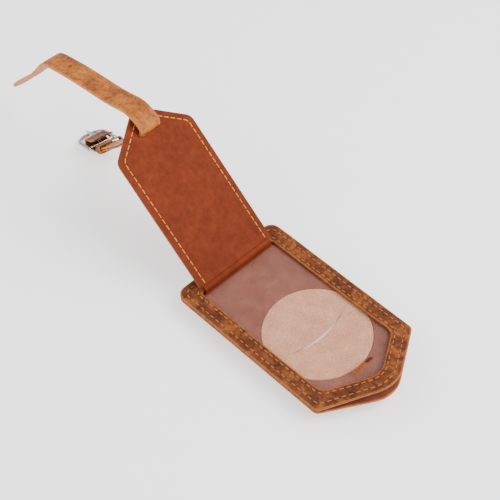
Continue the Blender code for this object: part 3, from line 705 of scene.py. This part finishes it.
def dress_nodes(mats):
    """The CAD solids that stay: each gets its own finish."""
    for name, slot in (("rear_pouch", "dark_suede"), ("tracker_shell", "white_plastic"),
                       ("tracker_door", "cell_steel"), ("coin_cell", "cell_steel"),
                       ("circuit_board", "board"), ("sounder", "sounder_brass"),
                       ("cell_contact", "sounder_brass"), ("buckle_bar", "nickel")):
        o = frame["nodes"][name]
        if not o.material_slots:
            o.data.materials.append(mats[slot])
        for s in o.material_slots:
            s.material = mats[slot]


# ---------------------------------------------------------------- the flap


def on_flap(x, y, z):
    """The flap's own place, shut along +X, turned back about its hinge."""
    c, k = math.cos(FLAP_OPEN), math.sin(FLAP_OPEN)
    return np.stack([HINGE[0] + x * c - z * k, HINGE[1] + y, HINGE[2] + x * k + z * c], -1)


def build_flap(mats):
    """The flap's two layers, each a band from its edge to the slot, and the seam on both sides."""
    s = bpy.context.scene.tag_sizes
    for name, z0, z1, slot, node_name in (
            ("flap_outer_skin", 0.07 * MM, 1.22 * MM, "frame_leather", "flap_outer"),
            ("flap_lining_skin", -1.12 * MM, -0.07 * MM, "lining_leather", "flap_lining")):
        out, face, back = (1, z1, z0) if z1 > 0 else (-1, z0, z1)
        rings = [(flap_loop(0.4 * MM), back, 1.0)]
        for d, z, w in edge_profile(z0, z1, 0.4 * MM, 0.0)[::out]:
            rings.append((flap_loop(d), z, w))
        for d in (0.9, 1.5, 2.1, 2.5, 2.9, 3.3, 3.8, 4.5, 5.5):
            seam = math.exp(-((d * MM - s.flap_seam) / SEAM_DIP) ** 2)
            near = max(0.0, 1 - d / 1.6)
            rings.append((flap_loop(d * MM), face - out * 0.14 * MM * seam, 0.6 * near))
        edge = rings[-1][0]
        hole = slot_loop(edge, SLOT_AT, -0.30 * MM)
        for f in np.linspace(0.1, 1.0, 14):
            rings.append((edge * (1 - f) + hole * f, face - out * 0.15 * MM * (f > 0.99), f ** 8))
        rings.append((hole, back, 1.0))

        def place(p, out=out):
            x, y, z = p[..., 0], p[..., 1], p[..., 2]
            bow = 0.10 * MM * rolling(x, y, 27 * MM, 3.0) * (out * (z - z0) > 0.3 * MM)
            return on_flap(x, y, z + bow)
        o = ringed(name, rings, slot, mats, place, 60.0)
        loop = flap_loop(s.flap_seam)
        open_end = loop[:, 0] > FLAP_START + s.flap_seam + 0.4 * MM
        first = int(np.argmax(open_end & ~np.roll(open_end, 1)))
        loop = np.roll(loop, -first, axis=0)[:int(open_end.sum())]
        root = np.array([[FLAP_START + 0.5 * MM, 1.0]])
        loop = np.concatenate([root * [1, loop[0, 1]], loop, root * [1, loop[-1, 1]]])
        path = on_flap(loop[:, 0], loop[:, 1], np.full(len(loop), face - out * 0.1 * MM))
        up = on_flap(0, 0, out * 1.0) - on_flap(0, 0, 0.0)
        colour = "pale" if out < 0 else "gold"
        made = [o, *sewn(name + "_seam", path, np.tile(up, (len(path), 1)), colour, mats,
                         length=2.9 * MM, awl=0.22 * MM)]
        own(made, "flap", slot, node_name)


def build_fold(mats):
    """The flap's skived root: it lies under the bar, comes up its edge and rolls onto the flap."""
    half = 20.8 * MM
    lead = np.array([(-6.2, -2.85), (0.5, -2.85), (0.9, -2.5), (1.0, -1.4)]) * MM
    round_to = FLAP_OPEN - math.pi / 2
    roll = [(1.0 * math.cos(v) * MM, 1.0 * math.sin(v) * MM)
            for v in np.linspace(0, round_to, 12)]
    last = [(roll[-1][0] - f * math.sin(round_to) * MM, roll[-1][1] + f * math.cos(round_to) * MM)
            for f in np.linspace(0.2, 1.55, 5)]
    line = np.concatenate([lead, roll, last])
    line = np.stack([np.interp(np.linspace(0, len(line) - 1, 60), np.arange(len(line)),
                               line[:, k]) for k in (0, 1)], -1)
    d = unit(np.gradient(line, axis=0))
    n = np.column_stack([d[:, 1], -d[:, 0]])
    t = 0.28 * MM
    loop = np.concatenate([line + n * t / 2, (line - n * t / 2)[::-1]])
    y = np.linspace(-half, half, 40)
    pts = np.stack(np.broadcast_arrays(HINGE[0] + loop[None, :, 0], y[:, None],
                                       HINGE[2] + loop[None, :, 1]), -1)
    o = piece("flap_root", pts.reshape(-1, 3), tube(pts), "lining_leather", mats)
    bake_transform(o)
    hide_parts("flap_fold")


# ---------------------------------------------------------------- the strap


def turns(knots):
    """The heading in radians at a distance, eased between (mm, degrees) knots."""
    xs, ys = np.array([k[0] * MM for k in knots]), np.radians([k[1] for k in knots])

    def angle(v):
        i = np.clip(np.searchsorted(xs, v, side="left") - 1, 0, len(xs) - 2)
        u = np.clip((v - xs[i]) / (xs[i + 1] - xs[i]), 0, 1)
        return ys[i] + (ys[i + 1] - ys[i]) * u * u * (3 - 2 * u)
    return angle


def route(start, heading, across, length, bend, step=0.25 * MM):
    """A strip's line: bend(s) is how far it has turned away from its upper side.

    Gives distances, points, headings, widths and upper normals as arrays.
    """
    n = int(round(length / step))
    s = np.linspace(0, length, n + 1)
    p, t, w = (np.array(v, float) for v in (start, heading, across))
    up = np.cross(w, t)
    a = bend(s) - bend(s[:1])
    heads = t * np.cos(a)[:, None] - up * np.sin(a)[:, None]
    ups = up * np.cos(a)[:, None] + t * np.sin(a)[:, None]
    mids = (heads[1:] + heads[:-1]) / 2
    pts = p + np.concatenate([np.zeros((1, 3)), np.cumsum(mids * (length / n), axis=0)])
    return [s, pts, heads, np.tile(w, (n + 1, 1)), ups]


def part_of(line, s0, s1, count):
    """A stretch of a route, resampled evenly."""
    s = np.linspace(s0, s1, count)
    return [s] + [np.stack([np.interp(s, line[0], v[:, k]) for k in range(3)], -1)
                  for v in line[1:]]


def section(thick, grooved, seam):
    """A strap's section, going round: (across, height, worn). Crowned faces, round edges, and
    a groove where two layers meet. Heights are from the strap's middle."""
    half, t, r = STRAP_W / 2, thick / 2, min(EDGE, thick * 0.42)
    crown, fray = 0.10 * MM, 1.2 * MM
    x = np.linspace(-half + r, half - r, 41)
    dip = sum(np.exp(-((x - k * (half - seam)) / (0.42 * MM)) ** 2) for k in (-1, 1))
    face = np.column_stack([x, t - 0.12 * MM * dip - crown * (x / half) ** 2,
                            np.clip((np.abs(x) - half + fray) / fray, 0, 1)])
    a = np.linspace(0, math.pi, 14)[1:-1]
    z = np.cos(a) * (t - crown)
    groove = 0.22 * MM * np.exp(-(z / (0.16 * MM)) ** 2) if grooved else 0.0
    side = np.column_stack([half - r + r * np.sin(a) - groove, z, np.ones(len(a))])
    return np.concatenate([face, side, face[::-1] * [1, -1, 1], side[::-1] * [-1, 1, 1]])


def swept(name, line, profile, slot, mats, narrow=None, over=0.0):
    """The section carried along a route; narrow(s) is how wide the strap is, 1 being full."""
    s, p, _, w, up = line
    k = narrow(s) if narrow else np.ones(len(s))
    across = profile[None, :, 0] * k[:, None]
    pts = (p[:, None] + w[:, None] * across[..., None]
           + up[:, None] * (profile[None, :, 1, None] + over))
    ring = np.concatenate([[0], np.cumsum(np.hypot(*np.diff(profile[:, :2], axis=0).T))])
    uv = np.stack(np.broadcast_arrays(s[:, None], ring[None, :]), -1)
    return piece(name, pts.reshape(-1, 3), tube(pts), slot, mats,
                 np.tile(profile[:, 2], len(s)), uv.reshape(-1, 2))


def punched(o, line, s, r=1.25 * MM):
    """A round hole cut through a strap at a distance along its route."""
    p, t, w, up = (np.array([np.interp(s, line[0], v[:, k]) for k in range(3)])
                   for v in line[1:])
    a = np.arange(24) * 2 * math.pi / 24
    ring = t * np.cos(a)[:, None] * r + w * np.sin(a)[:, None] * r
    pts = np.stack([p + ring - up * 3 * MM, p + ring + up * 3 * MM])
    me = bpy.data.meshes.new("punch")
    me.from_pydata(pts.reshape(-1, 3).tolist(), [], tube(pts))
    face_out(me)
    tool = bpy.data.objects.new("punch", me)
    bpy.context.scene.collection.objects.link(tool)
    cut = o.modifiers.new("Hole", "BOOLEAN")
    cut.operation, cut.solver, cut.object = "DIFFERENCE", "EXACT", tool
    bpy.context.view_layer.update()
    old, whole = o.data, o.evaluated_get(bpy.context.evaluated_depsgraph_get())
    o.data = bpy.data.meshes.new_from_object(whole)
    o.modifiers.clear()
    bpy.data.objects.remove(tool)
    bpy.data.meshes.remove(old)


def strap_seams(name, line, mats, seam, s0, s1):
    """Two rows of stitches on each face of a strap, from s0 to s1 along its route."""
    made = []
    _, p, _, w, up = part_of(line, s0, s1, 240)
    for face in (1, -1):
        for side in (-1, 1):
            path = p + w * side * (STRAP_W / 2 - seam) + up * face * (STRAP_T / 2 - 0.16 * MM)
            label = f"{name}_{'upper' if face > 0 else 'under'}_{'left' if side > 0 else 'right'}"
            made += sewn(label, path, up * face, "tan", mats, **STRAP_STITCH)
    return made


def build_tail(mats):
    """The strap from behind the flap, through its slot, out over its tip and down to the end.

    One route, made as two pieces that meet edge to edge: each holds one of the route's bends.
    """
    seam = bpy.context.scene.tag_sizes.strap_seam
    c, k = math.cos(FLAP_OPEN), math.sin(FLAP_OPEN)
    straight, arc = SLOT_BACK + 1.4 * MM, BEND_R * SLOT_TURN
    start = on_flap(SLOT_AT, 0.0, SLOT_BACK)
    first = route(start, (k, 0, -c), (0, 1, 0), straight + arc,
                  lambda s: np.clip((s - straight) / BEND_R, 0, None))
    tail = route(first[1][-1], first[2][-1], (0, 1, 0), TAIL, turns(TAIL_TURNS))
    tip = route(tail[1][-1], tail[2][-1], (0, 1, 0), TIP, turns(TIP_TURNS))

    def linked(a, b):
        return [np.concatenate([a[0], b[0][1:] + a[0][-1]])] + [
            np.concatenate([u, v[1:]]) for u, v in zip(a[1:], b[1:])]
    whole = linked(linked(first, tail), tip)
    slot_end, crest = first[0][-1], first[0][-1] + TAIL
    middle, end = slot_end + 0.55 * TAIL, crest + TIP
    profile = section(STRAP_T, True, seam)
    near = part_of(whole, 0.55 * MM, middle, 300)
    far = part_of(whole, middle, end, 420)

    def rounded(s):
        u = np.clip(1 - (end - s) / (6 * MM), 0, 1)
        return np.sqrt(np.maximum(0.02, 1 - 0.93 * u * u))
    a = swept("strap_through_flap", near, profile, "strap_leather", mats)
    b = swept("strap_tail_end", far, profile, "strap_leather", mats, narrow=rounded)
    for s in (slot_end + HOLES_AT[0], crest + HOLES_AT[1]):
        punched(b, whole, s)
    stitched = [(strap_seams("near", whole, mats, seam, 8 * MM, middle), a),
                (strap_seams("far", whole, mats, seam, middle, end - 5 * MM), b)]
    bends = (("flap", "tail", slot_end - 3 * MM, slot_end + 4 * MM),
             ("tail", "tip", crest - 5 * MM, crest + 7 * MM))
    for (rows, body), (one, two, s0, s1) in zip(stitched, bends):
        for o in [body, *rows]:
            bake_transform(o)
    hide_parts("strap_in_slot", "tail_face", "tail_back")
    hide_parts("tip_face", "tip_back")


def leg_route():
    """The strap's other end: down to the buckle, round its bar and back over itself."""
    c, s = math.cos(BUCKLE_YAW), math.sin(BUCKLE_YAW)
    down = FLAP_OPEN - math.pi / 2
    heading = (-c * math.cos(down), s * math.cos(down), -math.sin(down))
    arc = LOOP_R * LOOP_TURN
    lead, back = turns(LEG_TURNS), turns(RETURN_TURNS)

    def bend(v):
        loop = -np.clip((v - LEG) / LOOP_R, 0, LOOP_TURN)
        return lead(np.minimum(v, LEG)) + loop + back(np.maximum(v - LEG - arc, 0))
    start = on_flap(SLOT_AT, 0.0, SLOT_BACK)
    return route(start, heading, (s, c, 0.0), LEG + arc + RETURN, bend), LEG + arc + RETURN


def build_leg(mats):
    """The buckle end's outer layer and its shorter lining, each a thin grooveless strap."""
    seam = bpy.context.scene.tag_sizes.strap_seam
    line, end = leg_route()
    outer = swept("leg_outer", part_of(line, 0.55 * MM, end, 420), section(LAYER, False, seam),
                  "leg_leather", mats)
    inner = swept("leg_lining", part_of(line, 0.55 * MM, LINING_END, 300),
                  section(LAYER, False, seam), "strap_leather", mats, over=LAYER + LAYER_GAP)
    rows = []
    _, p, _, w, up = part_of(line, 6 * MM, 56 * MM, 200)
    for side in (-1, 1):
        for name, over, face in (("leg_top", 1.5 * LAYER + LAYER_GAP, 1),
                                 ("leg_under", -LAYER / 2, -1)):
            path = p + w * side * (STRAP_W / 2 - seam) + up * (over - face * 0.14 * MM)
            rows += sewn(f"{name}_{'left' if side > 0 else 'right'}", path, up * face, "tan",
                         mats, **STRAP_STITCH)
    for o in [outer, inner, *rows]:
        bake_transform(o)
    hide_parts("buckle_leg_outer")
    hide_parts("buckle_leg_lining")


def build_keeper(mats):
    """The keeper: a narrow leather band, its section carried round a rounded oblong."""
    line, _ = leg_route()
    _, p, t, w, up = (v[0] for v in part_of(line, KEEPER_AT, KEEPER_AT + 0.1 * MM, 2))
    p = p + up * KEEPER_OVER
    loop = joined(fillet([(-6.6, -2.0), (6.6, -2.0), (6.6, 2.0), (-6.6, 2.0)],
                         [1.4] * 4, 10), (16, 8, 16, 8)) * MM
    d = unit(np.roll(loop, -1, 0) - np.roll(loop, 1, 0))
    n = np.column_stack([d[:, 1], -d[:, 0]])
    prof = joined(fillet([(-2.45, -0.42), (2.45, -0.42), (2.45, 0.42), (-2.45, 0.42)],
                         [0.3] * 4, 4), (10, 2, 10, 2)) * MM
    flat = loop[:, None, :] + n[:, None, :] * prof[None, :, 1:2]
    pts = (p + w * flat[..., 0:1] + up * flat[..., 1:2] + t * prof[None, :, 0:1])
    worn = np.tile(np.clip(np.abs(prof[:, 0]) / (2.4 * MM) * 2 - 1, 0, 1), (len(loop), 1))
    o = piece("keeper_band", pts.reshape(-1, 3), surface(pts, (True, True)), "leg_leather", mats,
              worn.ravel())
    own([o], "keeper", "lining_leather", "keeper_loop")


# ---------------------------------------------------------------- the buckle


def buckle_place():
    """The buckle's own axes at its bar: forward, across and up."""
    bar = np.array(JOINTS["buckle_turn"]["pos_m"])
    c, s = math.cos(BUCKLE_YAW), math.sin(BUCKLE_YAW)
    w = np.array([s, c, 0.0])
    tilt = math.asin((bar[2] - 0.91 * MM) / (BUCKLE_FRONT - 0.6 * MM))
    fwd = np.array([-c * math.cos(tilt), s * math.cos(tilt), -math.sin(tilt)])
    return bar, fwd, w, np.cross(w, fwd)


def rod(name, path, radii, mats, ring=16):
    """A round wire along a path whose radius changes: circles across its headings, domed ends."""
    d = unit(np.gradient(path, axis=0))
    _, _, w, _ = buckle_place()
    side = unit(w - d * (d @ w)[:, None])
    up = np.cross(d, side)
    a = np.arange(ring) * 2 * math.pi / ring
    pts = path[:, None] + radii[:, None, None] * (side[:, None] * np.cos(a)[:, None]
                                                  + up[:, None] * np.sin(a)[:, None])
    return piece(name, pts.reshape(-1, 3), tube(pts), "nickel", mats, sharp=60.0)


def build_buckle(mats):
    """The rounded heel-bar buckle: a bent flat-oval wire, and the prong over its front."""
    bar, fwd, w, up = buckle_place()
    back, front, half = -1.4 * MM, BUCKLE_FRONT - 1.35 * MM, BUCKLE_HALF - WIRE_ACROSS
    arcs = fillet([(back, -half), (front, -half), (front, half), (back, half)],
                  [0.1 * MM, BUCKLE_CORNER, BUCKLE_CORNER, 0.1 * MM], 18)
    run = np.concatenate([arcs[0][-1:], arcs[1], arcs[2], arcs[3][:1]])
    s = np.concatenate([[0], np.cumsum(np.hypot(*np.diff(run, axis=0).T))])
    rows, ring = 120, 20
    u = np.linspace(0, s[-1], rows)
    flat = np.column_stack([np.interp(u, s, run[:, 0]), np.interp(u, s, run[:, 1])])
    path = bar + fwd * flat[:, :1] + w * flat[:, 1:]
    side = np.cross(unit(np.gradient(path, axis=0)), up)
    domed = 0.025  # the share of the wire's run that its round ends take
    past = np.clip(np.abs(np.linspace(-1, 1, rows)) - 1 + domed, 0, 1) / domed
    ends = np.sqrt(np.clip(1 - past ** 2, 0.05, 1))[:, None, None]
    a = np.arange(ring) * 2 * math.pi / ring
    ca = np.sign(np.cos(a)) * np.abs(np.cos(a)) ** 0.8 * WIRE_ACROSS
    sa = np.sign(np.sin(a)) * np.abs(np.sin(a)) ** 0.8 * WIRE_DEEP
    pts = path[:, None] + ends * (side[:, None] * ca[:, None] + up * sa[:, None])
    hoop = piece("buckle_hoop", pts.reshape(-1, 3), tube(pts), "nickel", mats, sharp=60.0)
    own([hoop], "buckle", "nickel", "buckle_frame")
    knots = np.array([(1.75, 0.0), (3.0, 0.75), (5.5, 1.5), (9.0, 2.0), (13.0, 2.0), (16.0, 1.75),
                      (17.3, 1.65)]) * MM
    v = np.linspace(0, len(knots) - 1, 60)
    x, z = (np.interp(v, np.arange(len(knots)), knots[:, i]) for i in (0, 1))
    smooth = np.convolve(np.pad(z, 4, "edge"), np.ones(9) / 9, "valid")
    line = bar + fwd * x[:, None] + up * smooth[:, None]
    radii = PRONG_R * np.sqrt(np.clip(1 - (np.clip(v - 5.6, 0, 1) / 0.45) ** 2, 0.08, 1))
    prong = rod("prong_wire", line, radii, mats)
    own([prong], "prong", "nickel", "buckle_prong")


# ---------------------------------------------------------------- the stage


CAMERA = ((210.39, -232.17, 443.24), -0.7428, 0.8782, 0.0339)  # mm, azimuth, elevation, roll


def build_stage():
    """A pale floor, a large soft light overhead, a fill and the camera."""
    low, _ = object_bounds()
    me = bpy.data.meshes.new("floor")
    reach, z = 3.0, min(low[2], 0) - 0.1 * MM
    me.from_pydata([(-reach, -reach, z), (reach, -reach, z), (reach, reach, z),
                    (-reach, reach, z)], [], [(0, 1, 2, 3)])
    floor = bpy.data.objects.new("floor", me)
    white = linear("#FFFFFF")
    me.materials.append(blank("White paper sweep", Base_Color=white, Roughness=0.9,
                              Emission_Color=white, Emission_Strength=0.8)[0])
    bpy.context.scene.collection.objects.link(floor)
    floor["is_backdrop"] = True
    world = bpy.data.worlds.new("Studio")
    world.use_nodes = True
    for socket, value in zip(world.node_tree.nodes["Background"].inputs, (white, 0.75)):
        socket.default_value = value
    bpy.context.scene.world = world
    for name, place, size, watts in (("key", (0.5, 0.35, 0.75), 0.7, 13.0),
                                     ("fill", (-0.6, -0.5, 0.6), 0.8, 5.0)):
        light = bpy.data.lights.new(name, "AREA")
        light.size, light.energy = size, watts
        o = bpy.data.objects.new(name, light)
        o.location = place
        aim = Vector((-0.04, 0, 0.02)) - Vector(place)
        o.rotation_euler = aim.to_track_quat("-Z", "Y").to_euler()
        bpy.context.scene.collection.objects.link(o)
    place, az, el, roll = CAMERA
    back = np.array([math.cos(az) * math.cos(el), math.sin(az) * math.cos(el), math.sin(el)])
    right = np.array([-math.sin(az), math.cos(az), 0.0])
    up = np.cross(back, right)
    c, k = math.cos(roll), math.sin(roll)
    axes = np.stack([c * right - k * up, k * right + c * up, back])
    cam = bpy.data.cameras.new("camera")
    cam.lens, cam.sensor_width = 86.4, 36.0
    cam.clip_start, cam.clip_end = 0.01, 10.0
    o = bpy.data.objects.new("camera", cam)
    o.matrix_world = Matrix.Translation(Vector(place) * MM) @ Matrix(axes.T.tolist()).to_4x4()
    bpy.context.scene.collection.objects.link(o)
    bpy.context.scene.camera = o


# ---------------------------------------------------------------- operators


MATS = {}


def finish_set():
    """The tag's materials, made once."""
    if not MATS:
        MATS.update(finishes())
    return MATS


class TAG_OT_inner(bpy.types.Operator):
    """Finishes the tracker, the rear pouch and the buckle's bar"""

    bl_idname = "tag.inner"
    bl_label = "Tracker and pouch"

    def execute(self, context):
        dress_nodes(finish_set())
        return {"FINISHED"}


class TAG_OT_frame(bpy.types.Operator):
    """Makes the stitched window frame"""

    bl_idname = "tag.frame"
    bl_label = "Window frame"

    def execute(self, context):
        build_frame(finish_set())
        return {"FINISHED"}


class TAG_OT_back(bpy.types.Operator):
    """Makes the back panel with its pale cut edge"""

    bl_idname = "tag.back"
    bl_label = "Back panel"

    def execute(self, context):
        build_back(finish_set())
        return {"FINISHED"}


class TAG_OT_disc(bpy.types.Operator):
    """Makes the pale suede disc with its slit"""

    bl_idname = "tag.disc"
    bl_label = "Slit disc"

    def execute(self, context):
        build_disc(finish_set())
        return {"FINISHED"}


class TAG_OT_window(bpy.types.Operator):
    """Makes the clear sheet"""

    bl_idname = "tag.window"
    bl_label = "Window"

    def execute(self, context):
        build_window(finish_set())
        return {"FINISHED"}


class TAG_OT_slot(bpy.types.Operator):
    """Makes the faced slot at the nose"""

    bl_idname = "tag.slot"
    bl_label = "Strap slot"

    def execute(self, context):
        build_strap_slot(finish_set())
        return {"FINISHED"}


class TAG_OT_flap(bpy.types.Operator):
    """Makes the flap's two layers and seams"""

    bl_idname = "tag.flap"
    bl_label = "Flap"

    def execute(self, context):
        build_flap(finish_set())
        return {"FINISHED"}


class TAG_OT_fold(bpy.types.Operator):
    """Makes the leather that bends at the hinge"""

    bl_idname = "tag.fold"
    bl_label = "Flap root"

    def execute(self, context):
        build_fold(finish_set())
        return {"FINISHED"}


class TAG_OT_tail(bpy.types.Operator):
    """Makes the strap from the slot to its end"""

    bl_idname = "tag.tail"
    bl_label = "Strap tail"

    def execute(self, context):
        build_tail(finish_set())
        return {"FINISHED"}


class TAG_OT_leg(bpy.types.Operator):
    """Makes the strap from the slot to the buckle"""

    bl_idname = "tag.leg"
    bl_label = "Buckle end"

    def execute(self, context):
        build_leg(finish_set())
        return {"FINISHED"}


class TAG_OT_keeper(bpy.types.Operator):
    """Makes the keeper band"""

    bl_idname = "tag.keeper"
    bl_label = "Keeper"

    def execute(self, context):
        build_keeper(finish_set())
        return {"FINISHED"}


class TAG_OT_buckle(bpy.types.Operator):
    """Makes the buckle's hoop and prong"""

    bl_idname = "tag.buckle"
    bl_label = "Buckle"

    def execute(self, context):
        build_buckle(finish_set())
        return {"FINISHED"}


class TAG_OT_stage(bpy.types.Operator):
    """Makes the floor, lights and camera"""

    bl_idname = "tag.stage"
    bl_label = "Stage"

    def execute(self, context):
        build_stage()
        return {"FINISHED"}


STEPS = (TAG_OT_inner, TAG_OT_frame, TAG_OT_back, TAG_OT_disc, TAG_OT_window, TAG_OT_slot,
         TAG_OT_flap, TAG_OT_fold, TAG_OT_tail, TAG_OT_leg, TAG_OT_keeper, TAG_OT_buckle,
         TAG_OT_stage)


class TAG_PT_panel(bpy.types.Panel):
    """Lists the tag's settings and its building steps."""

    bl_label = "Luggage Tag"
    bl_idname = "TAG_PT_panel"
    bl_space_type = "VIEW_3D"
    bl_region_type = "UI"
    bl_category = "Luggage Tag"

    def draw(self, context):
        for group in (context.scene.tag_sizes, context.scene.tag_colours):
            for key in group.__annotations__:
                self.layout.prop(group, key)
        for cls in STEPS:
            self.layout.operator(cls.bl_idname)


def register():
    for cls in (TagSizes, TagColours, *STEPS, TAG_PT_panel):
        bpy.utils.register_class(cls)
    bpy.types.Scene.tag_sizes = PointerProperty(type=TagSizes)
    bpy.types.Scene.tag_colours = PointerProperty(type=TagColours)


def unregister():
    del bpy.types.Scene.tag_colours
    del bpy.types.Scene.tag_sizes
    for cls in (TAG_PT_panel, *reversed(STEPS), TagColours, TagSizes):
        bpy.utils.unregister_class(cls)


def main():
    register()
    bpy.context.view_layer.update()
    for cls in STEPS:
        getattr(bpy.ops.tag, cls.bl_idname.split(".")[1])()


if __name__ == "__main__":
    main()
